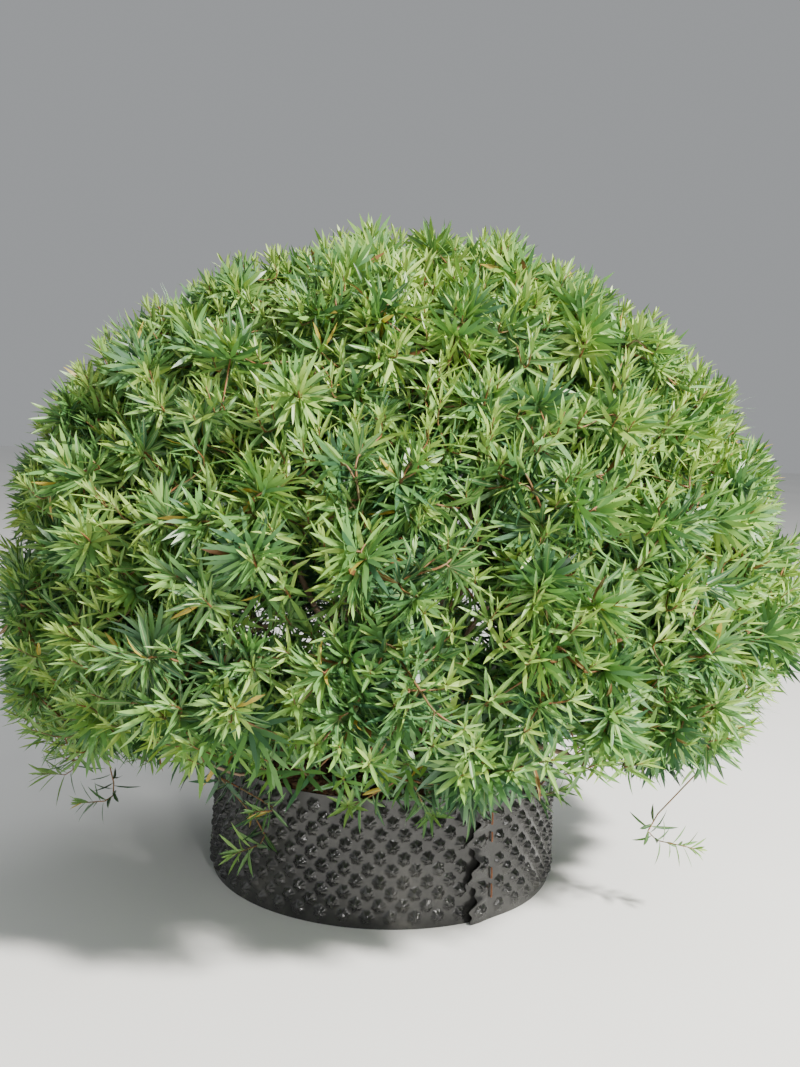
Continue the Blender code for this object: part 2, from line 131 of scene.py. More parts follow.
# Boughs and masses, by the same plan as the solids: name, count, first azimuth, slope of the mass's axis,
# slopes at which the bough leaves the head and reaches its end, and its reach
RINGS = (
    ("top", 1, 0.0, 90.0, 88.0, 90.0, 0.36),
    ("upper", 5, -120.0, 58.0, 47.0, 58.0, 0.31),
    ("side", 7, -154.3, 27.0, 15.0, 26.0, 0.27),
    ("skirt", 7, 180.0, -14.0, -5.0, -6.0, 0.31),
)
BOUGH_FOOT_RADIUS = 0.0060
BOUGH_TIP_RADIUS = 0.0040
BOUGH_COLLAR = 0.008
BOUGH_BOW = 0.016
BOUGH_BEND = 0.45
BOUGH_ROOT = 0.006
BOUGH_STEPS = 10
BOUGH_CURVE_STEPS = 6
BOUGH_SIDES = 12

# Bark's relief: depths of the fissures and scars as shares of the radius
FISSURE_DEPTHS = (0.035, 0.025)
SCAR_DEPTH = 0.020
BARK_DIRECTION = np.array((1.0, 0.7, 1.3))

# Crown, out to the tips of its leaves
CROWN_CENTRE = Vector((0.013, 0.0, 0.410))
CROWN_RADIUS = 0.600
CROWN_ABOVE = 0.560
CROWN_BELOW = 0.330
CROWN_WAVE = 0.018
DOME_POWER = 2.1
SKIRT_POWER = 4.0
SKIRT_HEIGHT = 0.200
SKIRT_DROOP = 0.050
LOWEST_SLOPE = -0.48
TOP_TUFT = 0.035
TUFT_RADIUS = 0.15
GOLDEN_ANGLE = math.radians(137.508)

# Shoot tips: depth under the crown's outline, and the underside that they keep above
OUTER_INSET = 0.024
OUTER_SPREAD = 0.019
INNER_INSET = 0.095
INNER_SPREAD = 0.085
AZIMUTH_JITTER = 0.03
SKIN_WAVE = 0.012
LEADERS = 0.12
LEADER_LENGTHS = (0.010, 0.032)
HIGHEST_TIP = 0.990
LOWEST_TIP = 0.190
FRONT_SPREAD = 1.4
FRONT_LIFT = 0.045
FRONT_START = 0.33
FRONT_SLOPE = 0.33
SIDE_START = 0.49
SIDE_SLOPE = 1.3
RIM_MARGIN = 0.012
POT_MARGIN = 0.022
TRAILING_TIPS = (
    Vector((-0.455, -0.135, 0.120)),
    Vector((-0.560, 0.020, 0.112)),
    Vector((0.455, -0.215, 0.112)),
    Vector((-0.208, -0.255, 0.095)),
    Vector((-0.175, -0.285, 0.170)),
    Vector((-0.045, -0.325, 0.198)),
    Vector((0.070, -0.330, 0.190)),
    Vector((0.130, -0.315, 0.202)),
    Vector((0.255, -0.250, 0.205)),
)
OUTER_VIGOUR = 1.0
INNER_VIGOUR = 0.8
TRAILING_VIGOUR = 0.95
WEAK_VIGOUR = 0.9

# Forks and twigs
FORK_STEP = 0.42
FORK_FOLLOW = 0.35
FORK_JITTER = 0.010
FULL_JITTER_TIPS = 6
RIM_LIFT = 0.014
TWIG_RADIUS = 0.0011
TWIG_GROWTH = 0.24
TWIG_TAPER = 0.6
TWIG_CURVE_STEPS = 3
TWIG_SIDES = 5
YOUNG_TWIG_RADIUS = 0.0021
STEM_COLLAR = 0.020
STEM_ROOT = 0.004
STEM_ROOT_SHARE = 0.97
RISE = 0.50
LOWEST_LEAN = -0.15
LEVEL_HEIGHT = 0.13
RISING_RANGE = 0.08
SHOOT_SHARE = 0.55
SHOOT_LENGTH = 0.085

# Leaves on a shoot: the first ones stand close and upright, the last ones wide apart and spread
FIRST_SPACING = 0.0016
ADDED_SPACING = 0.0040
CLOSE_LEAVES = 14.0
LEAFY_SHARE = 0.92
STEM_SAMPLE = 0.006
ODD_DIRECTION = (0.31, 0.52, 0.79)
UPRIGHT = 14.0
ADDED_SPREAD = 78.0
SPREAD_POWER = 0.62
SPREAD_JITTER = 7.0
UPWARD_FACE = (0.0, 0.0, 0.35)
SIZE_AGES = (0.0, 0.25, 0.6, 1.0)
SIZES = (0.42, 0.86, 1.06, 0.92)
SIZE_RANGE = (0.86, 1.14)
COUNT_RANGE = (0.8, 1.2)
SHOOT_SIZE_RANGE = (0.85, 1.15)
INNER_LEAVES = 1.45
INNER_SIZE = 1.12
FIRST_BEND = 0.02
ADDED_BEND = 0.34
BEND_POWER = 1.4
BEND_RANGE = (0.3, 1.2)
FOLD_RANGE = (0.25, 0.55)
WIDTH_RANGE = (0.6, 1.05)

# Leaf with a rib: stations along it, the edges' share of the half width and the rib's relative width there.
# Its points are two at the foot, four at each of three stations from edge to edge, and the tip
LEAF_STATIONS = (0.0, 0.20, 0.50, 0.80, 1.0)
EDGE_SHARES = (0.0, 0.74, 1.0, 0.60, 0.0)
RIB_SHARE = 0.11
RIB_TAPER = (1.6, 1.3, 1.0, 0.7, 0.0)
LEAF_POINTS = 15
LEAF_TRIANGLES = np.array(((0, 2, 3), (5, 1, 4), (10, 14, 11), (11, 14, 12), (12, 14, 13)))
LEAF_QUADS = np.array(((0, 3, 4, 1), (2, 6, 7, 3), (3, 7, 8, 4), (4, 8, 9, 5),
                       (6, 10, 11, 7), (7, 11, 12, 8), (8, 12, 13, 9)))
TRIANGLE_IS_RIB = np.array((0, 0, 0, 1, 0))
QUAD_IS_RIB = np.array((1, 0, 1, 0, 0, 1, 0))

# Plain leaf of the crown's inside: a foot, two points at each of two stations, and an end
PLAIN_STATIONS = np.array((0.0, 0.35, 0.35, 0.72, 0.72, 1.0))
PLAIN_SIDES = np.array((0.0, 0.5, -0.5, 0.42, -0.42, 0.0))
PLAIN_TRIANGLES = np.array(((0, 2, 1), (3, 4, 5)))
PLAIN_QUADS = np.array(((1, 2, 4, 3),))

# Leaf colours from the tip of a shoot down, the last green one the painted shade of leaves deep inside the
# crown, then those of fading leaves
LEAF_TINTS = {
    "bud": (0.300, 0.450, 0.095),
    "young": (0.195, 0.360, 0.085),
    "fresh": (0.118, 0.265, 0.072),
    "mature": (0.074, 0.180, 0.064),
    "old": (0.046, 0.122, 0.056),
    # painted shade: the darkest green, for leaves deep inside the crown
    "shaded": (0.022, 0.055, 0.026),
    "yellowing": (0.440, 0.330, 0.050),
    "withered": (0.180, 0.090, 0.036),
}
GREEN_TINTS = 6
RIB_COLOUR = (0.25, 0.33, 0.13)
LEAF_GLOW = 0.16
RIB_GLOW = 0.10
GLOW_TINT = (1.15, 1.25, 0.6)
FIRST_TINT = 0.4
AGE_TINTS = 3.2
TINT_JITTER = 0.4
SHOOT_TINT_JITTER = 0.55
# Painted shade: leaves deep inside the crown shift towards the darker tints
SHADE_TINTS = 5.0
SHADE_START = 0.95
SHADE_SPANS = (0.58, 0.58, 0.54)
# Painted light: leaves high in the crown shift towards the brighter tints
LIGHT_TINTS = 0.9
LIGHT_START = 0.3
LIGHT_SLOPE = 1.5
FADING = 0.004
FADING_WHEN_OLD = 0.035
OLD_AGE = 0.85
YELLOWING_SHARE = 0.6

# Stage: camera as fitted to the photograph's pot and crown; lights are place, size, power and colour
CAMERA_PLACE = (0.0127, -1.878, 0.746)
CAMERA_PITCH = 6.60
CAMERA_ROLL = 1.98
PHOTO_HEIGHT = 1067
FOCAL_PIXELS = 1200
SENSOR = 36.0
LIGHTS = {
    "key": ((2.6, -2.4, 3.4), 0.45, 720.0, (1.0, 0.965, 0.90)),
    "fill": ((-3.0, -2.6, 2.0), 2.6, 18.0, (0.93, 0.97, 1.0)),
    "glint": ((0.9, -3.2, 1.0), 0.30, 30.0, (1.0, 0.98, 0.95)),
    "back": ((0.5, 3.2, 2.6), 2.0, 45.0, (1.0, 1.0, 1.0)),
}
LIGHT_AIM = Vector((0.0, 0.0, 0.45))
SKY_COLOUR = (0.94, 0.97, 1.0, 1.0)
SKY_STRENGTH = 0.37
FLOOR_HALF_SIZE = 12.0
FLOOR_DROP = 0.0006

SHADER_INPUTS = {
    "base_color": "Base Color",
    "roughness": "Roughness",
    "metallic": "Metallic",
    "specular": "Specular IOR Level",
    "normal": "Normal",
}


# Numbers, sizes and colours that a user would change

class PlantSettings(bpy.types.PropertyGroup):
    """Numbers, sizes and colours of the plant."""
    shoots: IntProperty(name="Shoots", description="Leafy shoots on the crown's skin",
                        default=1300, min=50, max=2500)
    inner_shoots: IntProperty(name="Inner shoots", description="Weaker shoots inside the crown",
                              default=2100, min=0, max=4000)
    leaves: IntProperty(name="Leaves", description="Leaves on each shoot", default=30, min=4, max=60)
    leaf_length: FloatProperty(name="Leaf length", description="Length of a full-grown leaf",
                               default=0.046, unit="LENGTH")
    leaf_width: FloatProperty(name="Leaf width", description="Width of a full-grown leaf",
                              default=0.0064, unit="LENGTH")
    bark: FloatVectorProperty(name="Bark", description="Colour of the stem and boughs",
                              subtype="COLOR", default=(0.120, 0.085, 0.058))
    green_twig: FloatVectorProperty(name="Young twig", description="Colour of the young wood",
                                    subtype="COLOR", default=(0.150, 0.080, 0.036))


class PotSettings(bpy.types.PropertyGroup):
    """Numbers, sizes and colours of the pot."""
    stud_height: FloatProperty(name="Stud height", description="How far a stud stands out",
                               default=0.0065, unit="LENGTH")
    stud_radius: FloatProperty(name="Stud radius", description="Radius of a stud's foot",
                               default=0.0098, unit="LENGTH")
    chips: IntProperty(name="Mulch chips", description="Bark chips on the soil",
                       default=1500, min=0, max=5000)
    plastic: FloatVectorProperty(name="Plastic", description="Colour of the plastic sheet",
                                 subtype="COLOR", default=(0.017, 0.017, 0.017))
    soil: FloatVectorProperty(name="Soil", description="Colour of the potting soil",
                              subtype="COLOR", default=(0.045, 0.028, 0.018))


# Shader recipes

class Value:
    """A node's output socket that can be used in sums: each operator adds a Math node."""

    def __init__(self, recipe, socket):
        self.recipe = recipe
        self.socket = socket

    def join(self, operation, first, second):
        """A Math node over two values or numbers."""
        return self.recipe.node("ShaderNodeMath", {"operation": operation}, {0: first, 1: second})

    def __add__(self, other):
        return self.join("ADD", self, other)

    __radd__ = __add__

    def __mul__(self, other):
        return self.join("MULTIPLY", self, other)

    __rmul__ = __mul__


class Recipe:
    """One material's node tree, written as expressions."""

    def __init__(self, name):
        self.material = bpy.data.materials.new(name)
        self.material.use_nodes = True
        self.tree = self.material.node_tree
        self.shader = self.tree.nodes["Principled BSDF"]
        self.output = self.tree.nodes["Material Output"]

    def node(self, kind, settings=None, inputs=None, output=0):
        """A node of one kind, with its settings and what its sockets are fed; gives one output."""
        made = self.tree.nodes.new(kind)
        for name, value in (settings or {}).items():
            if name == "stops":
                self.set_stops(made.color_ramp, value)
            else:
                setattr(made, name, value)
        for key, value in (inputs or {}).items():
            self.feed(made.inputs[key], value)
        return Value(self, made.outputs[output])

    def set_stops(self, ramp, stops):
        """Give a colour ramp its stops, as pairs of position and colour."""
        while len(ramp.elements) < len(stops):
            ramp.elements.new(0.5)
        for element, (position, colour) in zip(ramp.elements, stops):
            element.position = position
            element.color = (*colour, 1.0)

    def feed(self, socket, value):
        """Link a value, or set a number, a vector or a colour, which takes an alpha of 1."""
        if isinstance(value, Value):
            self.tree.links.new(value.socket, socket)
        elif socket.type == "RGBA":
            socket.default_value = (*value, 1.0)
        else:
            socket.default_value = value

    def set(self, **inputs):
        """Feed the Principled shader."""
        for name, value in inputs.items():
            self.feed(self.shader.inputs[SHADER_INPUTS[name]], value)

    def place(self, scale=(1.0, 1.0, 1.0)):
        """The place on the object, stretched."""
        here = self.node("ShaderNodeTexCoord", output="Object")
        return self.node("ShaderNodeMapping", inputs={"Vector": here, "Scale": scale})

    def noise(self, scale, detail=4.0, rough=0.55, vector=None):
        """Noise of so many waves per metre."""
        return self.node("ShaderNodeTexNoise", inputs={
            "Vector": vector or self.place(), "Scale": scale, "Detail": detail, "Roughness": rough})

    def ramp(self, factor, *stops):
        """A colour read from stops."""
        return self.node("ShaderNodeValToRGB", {"stops": stops}, {"Fac": factor})

    def bump(self, height, strength, distance):
        """Relief on the Principled shader's normal."""
        self.set(normal=self.node("ShaderNodeBump", inputs={
            "Height": height, "Strength": strength, "Distance": distance}))


def finish(name, make):
    """A named material, made once."""
    found = bpy.data.materials.get(name)
    if found:
        return found
    recipe = Recipe(name)
    make(recipe)
    return recipe.material


def plant():
    """The plant's settings."""
    return bpy.context.scene.spurge_plant


def pot():
    """The pot's settings."""
    return bpy.context.scene.spurge_pot


# Finishes

def plastic_finish(recipe):
    """Black film: gloss that dust and water marks break up, paler where dust lies."""
    dust = recipe.noise(14.0, 6.0, 0.6)
    marks = recipe.noise(95.0, 3.0, 0.5)
    base = tuple(pot().plastic)
    dusty = recipe.ramp(dust * 0.75 + marks * 0.25, (0.38, base), (0.56, (0.034, 0.034, 0.032)),
                        (0.74, (0.080, 0.077, 0.068)))
    recipe.set(base_color=dusty, roughness=0.17 + dust * 0.14, specular=0.5)
    recipe.bump(marks, 0.15, 0.0005)


def rust_finish(recipe):
    """Rusty wire, in dark and bright specks."""
    spots = recipe.noise(900.0, 4.0)
    colour = recipe.ramp(spots, (0.35, (0.09, 0.035, 0.02)), (0.6, (0.28, 0.11, 0.045)))
    recipe.set(base_color=colour, roughness=0.7 + spots * 0.3, metallic=0.2)
    recipe.bump(spots, 0.5, 0.0005)


def soil_finish(recipe):
    """Crumbly dark soil: crumbs from two noises, in lighter and darker tones that are partly the soil's own
    and partly painted shade darkening the hollows.
    """
    crumbs = recipe.noise(260.0, 8.0, 0.65)
    lumps = recipe.noise(60.0, 4.0)
    base = np.array(pot().soil)
    # Painted shade: the same noises that sink the hollows in the bump darken them
    colour = recipe.ramp(crumbs * 0.7 + lumps * 0.3, (0.35, tuple(base * 0.45)), (0.52, tuple(base)),
                         (0.68, tuple(base * 2.6)))
    recipe.set(base_color=colour, roughness=0.75 + lumps * 0.25)
    recipe.bump(crumbs * 0.6 + lumps, 0.9, 0.004)


def chip_finish(colour):
    """A bark chip with its grain."""
    def make(recipe):
        grain = recipe.noise(320.0, 4.0, 0.6, recipe.place((1.0, 0.3, 1.0)))
        base = np.array(colour)
        shades = recipe.ramp(grain, (0.35, tuple(base * 0.5)), (0.65, tuple(base * 1.35)))
        recipe.set(base_color=shades, roughness=0.75 + grain * 0.2)
        recipe.bump(grain, 0.5, 0.001)
    return make


def bark_finish(recipe):
    """Grey-brown bark with lenticels and darker streaks along the limb."""
    streaks = recipe.noise(420.0, 5.0, 0.6, recipe.place((1.0, 1.0, 0.22)))
    patches = recipe.noise(45.0, 3.0)
    base = np.array(plant().bark)
    colour = recipe.ramp(streaks * 0.55 + patches * 0.45, (0.34, tuple(base * 0.42)), (0.50, tuple(base)),
                         (0.66, tuple(base * 1.9)))
    recipe.set(base_color=colour, roughness=0.65 + streaks * 0.3)
    recipe.bump(streaks, 0.7, 0.0012)


def twig_finish(recipe):
    """Young wood, green-brown to reddish."""
    patches = recipe.noise(70.0, 3.0)
    base = np.array(plant().green_twig)
    green = tuple(base * (0.75, 1.15, 0.9))
    reddish = tuple(base * (1.5, 1.1, 0.8))
    colour = recipe.ramp(patches, (0.38, green), (0.62, reddish))
    recipe.set(base_color=colour, roughness=0.45 + patches * 0.2)


def leaf_finish(colour, glow):
    """A waxy leaf that lets some light through: a Principled shader mixed with a Translucent one."""
    through_colour = tuple(part * share for part, share in zip(colour, GLOW_TINT))

    def make(recipe):
        recipe.set(base_color=colour, roughness=0.38, specular=0.45)
        surface = Value(recipe, recipe.shader.outputs[0])
        through = recipe.node("ShaderNodeBsdfTranslucent", inputs={"Color": through_colour})
        mixed = recipe.node("ShaderNodeMixShader", inputs={0: glow, 1: surface, 2: through})
        recipe.tree.links.new(mixed.socket, recipe.output.inputs["Surface"])
    return make


def floor_finish(recipe):
    """A pale matt floor, hardly mottled."""
    shade = recipe.noise(1.5, 2.0)
    colour = recipe.ramp(shade, (0.3, (0.78, 0.78, 0.77)), (0.7, (0.82, 0.82, 0.81)))
    recipe.set(base_color=colour, roughness=0.9)


# Meshes

def add_piece(name, points, faces, finishes, indices=None, smooth=True):
    """Put arrays of points and faces (triangles or quads) in the scene as one piece."""
    mesh = bpy.data.meshes.new(name)
    points = np.ascontiguousarray(points, dtype=np.float32).reshape(-1, 3)
    sizes = np.concatenate([np.full(len(part), part.shape[1], dtype=np.int32) for part in faces])
    corners = np.concatenate([part.ravel() for part in faces]).astype(np.int32)
    starts = np.concatenate(([0], np.cumsum(sizes)[:-1])).astype(np.int32)
    mesh.vertices.add(len(points))
    mesh.vertices.foreach_set("co", points.ravel())
    mesh.loops.add(len(corners))
    mesh.loops.foreach_set("vertex_index", corners)
    mesh.polygons.add(len(sizes))
    mesh.polygons.foreach_set("loop_start", starts)
    for material in finishes:
        mesh.materials.append(material)
    if indices is not None:
        mesh.polygons.foreach_set("material_index", np.ascontiguousarray(indices, dtype=np.int32))
    mesh.polygons.foreach_set("use_smooth", np.full(len(sizes), smooth))
    mesh.update(calc_edges=True)
    mesh.validate()
    piece = bpy.data.objects.new(name, mesh)
    bpy.context.scene.collection.objects.link(piece)
    return piece


def put_in_place(piece, slot, *nodes):
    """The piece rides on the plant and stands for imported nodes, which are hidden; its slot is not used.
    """
    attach(piece, "root")
    if nodes:
        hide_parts(*nodes)


def dress_node(name, skin):
    """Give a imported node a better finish."""
    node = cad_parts[name]
    for slot in node.material_slots:
        slot.link = "OBJECT"
        slot.material = skin


def unit(vectors):
    """Vectors divided by their lengths."""
    return vectors / np.maximum(np.linalg.norm(vectors, axis=-1, keepdims=True), 1e-9)


def smooth_step(value):
    """Rises from 0 to 1 as a cubic that is level at both ends."""
    value = np.clip(value, 0.0, 1.0)
    return value * value * (3.0 - 2.0 * value)


def direction(azimuth, elevation):
    """The unit vector at an azimuth and an elevation in degrees."""
    azimuth = math.radians(azimuth)
    elevation = math.radians(elevation)
    level = math.cos(elevation)
    return Vector((level * math.cos(azimuth), level * math.sin(azimuth), math.sin(elevation)))


def round_pot(radius, angle, height):
    """Points from their distance from the pot's axis, angle and height."""
    return np.stack((radius * np.cos(angle), radius * np.sin(angle), height), axis=-1)


def strip(first, second):
    """Quads between two index grids that lie side by side."""
    return np.stack((first[:, :-1], second[:, :-1], second[:, 1:], first[:, 1:]), axis=-1).reshape(-1, 4)


def fan(edge, foot):
    """Triangles from the inner foot to the outer edge, and one to the inner top."""
    triangles = np.stack((np.full(len(edge) - 1, foot[0]), edge[1:], edge[:-1]), axis=-1)
    return np.concatenate((triangles, [[foot[0], foot[1], edge[-1]]]))


def each(faces, points, count):
    """The faces of a shape of so many points, for each of its repeats."""
    return (faces + (np.arange(count) * points)[:, None, None]).reshape(-1, faces.shape[1])


# Pot

def sheet_radius(height):
    """The sheet leans in evenly from its foot to the rim."""
    return BASE_RADIUS + (RIM_RADIUS - BASE_RADIUS) * height / POT_HEIGHT


def sheet_lift(column):
    """The sheet climbs over its own beginning, and its free edge stands off."""
    climb = smooth_step((column - HALF_COLUMNS + RAMP_COLUMNS) / (RAMP_COLUMNS - 1))
    stand_off = smooth_step((column - HALF_COLUMNS - 1) / (OVERLAP_COLUMNS - 1))
    return climb * (SHEET + FLAP_GAP) + stand_off * FREE_EDGE_LIFT


def stud_relief(column, row):
    """Height of the pleated studs over the sheet.

    Studs stand on every second crossing of the half columns and half rows. Each is a dome that falls with
    a power of the way to its foot, and its pleats, a cosine round it, deepen outward. From stud to stud the
    pleats turn and the height varies a little.
    """
    half_column = math.tau * BASE_RADIUS / HALF_COLUMNS
    half_row = POT_HEIGHT / HALF_ROWS
    along = (column - row) / 2.0
    across = (column + row) / 2.0
    centre_column = np.round(along) + np.round(across)
    centre_row = np.round(across) - np.round(along)
    last = HALF_COLUMNS + OVERLAP_COLUMNS
    outside = ((centre_row <= 0) | (centre_row >= HALF_ROWS) | (centre_column <= OVERLAP_COLUMNS)
               | (centre_column >= last) | (centre_column == last - TIE_COLUMN))
    side = (column - centre_column) * half_column
    rise = (row - centre_row) * half_row
    distance = np.hypot(side, rise)
    turned = centre_column * STUD_TURN_STEPS[0] + centre_row * STUD_TURN_STEPS[1]
    pleat = np.cos(PLEATS * (np.arctan2(rise, side) + turned))
    way = np.clip(distance / (pot().stud_radius * (1.0 + FOOT_PLEAT_DEPTH * pleat)), 0.0, 1.0)
    dome = (1.0 - way ** STUD_POWER) * (1.0 + PLEAT_DEPTH * way * pleat)
    varied = centre_column * STUD_VARIETY_STEPS[0] + centre_row * STUD_VARIETY_STEPS[1]
    variety = 1.0 + STUD_VARIETY * np.sin(varied)
    return np.where(outside, 0.0, pot().stud_height * variety * dome)


def waves(table, angle, height):
    """Sum of sine waves over the angle round the pot and the height."""
    return sum(deep * np.sin(angle * turns + height * rate + begin)
               for deep, turns, rate, begin in table)


def wave_share(column, height):
    """The sheet's waves die out by a smooth step at the overlap, and by a sine at the foot and rim."""
    fade_in, fade_out = WAVE_FADE_COLUMNS
    after_start = smooth_step((column - OVERLAP_COLUMNS) / fade_in)
    before_ramp = smooth_step((HALF_COLUMNS - RAMP_COLUMNS - column) / fade_out)
    return after_start * before_ramp * np.sin(math.pi * np.clip(height / POT_HEIGHT, 0, 1))


def pot_surface():
    """Points and faces of the rolled sheet: studded outside, plain inside, with rims and ends.

    Column and row run over a grid; the radius is the leaning sheet's, plus its lift over its own
    beginning, the curl of its free edge, its waves and the studs. The inside follows without the studs,
    a sheet's thickness further in, and has all its rows only on the flap.
    """
    all_columns = HALF_COLUMNS + OVERLAP_COLUMNS
    columns = np.linspace(0.0, all_columns, all_columns * FINE_STEPS + 1)
    rows = np.linspace(0.0, HALF_ROWS, HALF_ROWS * FINE_STEPS + 1)
    column, row = np.meshgrid(columns, rows, indexing="ij")
    height = POT_HEIGHT * row / HALF_ROWS
    angle = SEAM_ANGLE + (OVERLAP_COLUMNS - column) * math.tau / HALF_COLUMNS
    near_edge = smooth_step((column - all_columns + FLAP_COLUMNS) / FLAP_COLUMNS)
    angle = angle - near_edge * waves(EDGE_WAVES, 0.0, height) / BASE_RADIUS
    curl = near_edge * EDGE_CURL * (1.0 + np.sin(height * EDGE_CURL_RATE))
    plain = sheet_radius(height) + sheet_lift(column) + curl
    plain = plain + waves(SHEET_WAVES, angle, height) * wave_share(column, height)
    outer = round_pot(plain + stud_relief(column, row), angle, height)
    inner = round_pot(plain - SHEET, angle, height)
    split = HALF_COLUMNS * FINE_STEPS + 1
    points = (outer.reshape(-1, 3), inner[:split, [0, -1]].reshape(-1, 3), inner[split:].reshape(-1, 3))
    return np.concatenate(points), pot_faces(*column.shape, split)


def pot_faces(wide, tall, split):
    """Faces of the outside, of the inside with its two rows up to the split, and of the flap's inside."""
    grid = np.arange(wide * tall).reshape(wide, tall)
    inside = wide * tall + np.arange(split * 2).reshape(split, 2)
    flap = wide * tall + split * 2 + np.arange((wide - split) * tall).reshape(-1, tall)
    low = np.concatenate((inside[:, 0], flap[:, 0]))
    high = np.concatenate((inside[:, 1], flap[:, -1]))
    return [
        strip(grid[1:], grid[:-1]),
        strip(inside[:-1], inside[1:]),
        strip(flap[:-1], flap[1:]),
        np.stack((grid[:-1, 0], grid[1:, 0], low[1:], low[:-1]), axis=-1),
        np.stack((grid[:-1, -1], grid[1:, -1], high[1:], high[:-1]), axis=-1)[:, ::-1],
        np.stack((grid[-1, :-1], grid[-1, 1:], flap[-1, 1:], flap[-1, :-1]), axis=-1),
        fan(flap[0], inside[-1])[:, ::-1],
        fan(grid[0], inside[0]),
    ]


# Mulch

def chip_centres(count, chance):
    """Places spread evenly over the mound but for the stem, each a little above it.

    The mound's height is a smooth step down from the stem to the rim.
    """
    distance = MULCH_RADIUS * np.sqrt(chance.random(count))
    azimuth = chance.uniform(0.0, math.tau, count)
    keep = distance > MULCH_HOLE
    distance, azimuth = distance[keep], azimuth[keep]
    height = SOIL_TOP - (SOIL_TOP - SOIL_EDGE_HEIGHT) * smooth_step(distance / RIM_RADIUS)
    height = height + CHIP_LIFT + chance.uniform(0.0, CHIP_PILE, len(distance))
    return round_pot(distance, azimuth, height)


def chip_shapes(count):
    """Flat chips, each a box that is turned and tilted, with its corners drawn in or out by chance."""
    chance = np.random.default_rng(CHIP_SEED)
    centre = chip_centres(count, chance)
    count = len(centre)
    long = chance.uniform(*CHIP_HALF_LENGTHS, count)
    wide = long * chance.uniform(*CHIP_WIDTH_SHARES, count)
    thick = chance.uniform(*CHIP_HALF_THICKNESSES, count)
    spin = chance.uniform(0.0, math.tau, count)
    tilt = chance.normal(0.0, CHIP_TILT, (count, 2))
    along = unit(np.stack((np.cos(spin), np.sin(spin), tilt[:, 0]), axis=-1))
    across = unit(np.stack((-np.sin(spin), np.cos(spin), tilt[:, 1]), axis=-1))
    upward = np.cross(along, across)
    ragged = BOX_CORNERS * chance.uniform(*CHIP_RAGGED, (count, *BOX_CORNERS.shape))
    points = (centre[:, None] + along[:, None] * ragged[..., :1] * long[:, None, None]
              + across[:, None] * ragged[..., 1:2] * wide[:, None, None]
              + upward[:, None] * ragged[..., 2:] * thick[:, None, None])
    faces = each(BOX_FACES, len(BOX_CORNERS), count)
    colours = chance.integers(0, len(CHIP_COLOURS), count)
    return points.reshape(-1, 3), [faces], np.repeat(colours, len(BOX_FACES))


# Stem and boughs

def stem_path():
    """The stem's middle line and radii.

    The root flare narrows to the neck with a power of the way up, and the head is a ball.
    """
    foot = SOIL_TOP + CLEARANCE
    neck = HEAD.z - HEAD_RADIUS * NECK_DROP
    low_height = foot + (neck - foot) * NECK_SHARES
    low_radius = NECK_RADIUS + (FLARE_RADIUS - NECK_RADIUS) * (1.0 - NECK_SHARES) ** FLARE_POWER
    height = np.concatenate((low_height, HEAD.z + HEAD_RADIUS * np.sin(HEAD_SLOPES)))
    radius = np.concatenate((low_radius, HEAD_RADIUS * np.cos(HEAD_SLOPES)))
    along = np.minimum(1.0, (height - foot) / (neck - foot))
    return np.stack((HEAD.x * along, HEAD.y * along, height), axis=-1), radius


def plan_masses():
    """One entry for each mass: its name, its cell's axis, and the path of its bough."""
    masses = []
    for ring, count, first, slope, leaving, ending, reach in RINGS:
        for number in range(count):
            azimuth = first + 360.0 * number / count
            name = ring if count == 1 else f"{ring}_{number + 1}"
            bow = random.Random(name).uniform(-BOUGH_BOW, BOUGH_BOW)
            masses.append({
                "name": name,
                "axis": direction(azimuth, slope),
                "bough": bough_path(direction(azimuth, leaving), direction(azimuth, ending) * reach, bow),
            })
    return masses


def bough_path(leaving, span, bow):
    """A gentle arch from inside the head to the place where the foliage begins.

    After a straight collar it is the quadratic curve of three points: the collar's end, a point further
    along the leaving direction, and the end, which stands off sideways by the bow.
    """
    start = HEAD + leaving * (HEAD_RADIUS + CLEARANCE)
    collar = start + leaving * BOUGH_COLLAR
    across = Vector((-leaving.y, leaving.x, 0.0)).normalized()
    end = HEAD + span + across * bow
    middle = collar + leaving * (span.length * BOUGH_BEND)
    path = [start - leaving * BOUGH_ROOT, collar]
    for step in range(1, BOUGH_STEPS + 1):
        share = step / BOUGH_STEPS
        path.append(collar * (1 - share) ** 2 + middle * (2 * share * (1 - share)) + end * share ** 2)
    return path


def smooth_limb(limb, steps):
    """A limb's points and radii, read from a smooth curve through its points.

    Each stretch is a cubic, whose slope at both ends is half the way between the points on either side.
    """
    places = np.array([place for place, _ in limb])
    radii = np.array([radius for _, radius in limb])
    before = np.concatenate((2 * places[:1] - places[1:2], places[:-2]))
    after = np.concatenate((places[2:], 2 * places[-1:] - places[-2:-1]))
    here, there = places[:-1], places[1:]
    share = (np.arange(steps) / steps)[:, None, None]
    squared = 2 * before - 5 * here + 4 * there - after
    cubed = 3 * here - before - 3 * there + after
    curve = 0.5 * (2 * here + (there - before) * share + squared * share ** 2 + cubed * share ** 3)
    curve = curve.transpose(1, 0, 2).reshape(-1, 3)
    thin = (radii[:-1, None] + (radii[1:] - radii[:-1])[:, None] * share[:, 0, 0]).ravel()
    return np.concatenate((curve, places[-1:])), np.concatenate((thin, radii[-1:]))


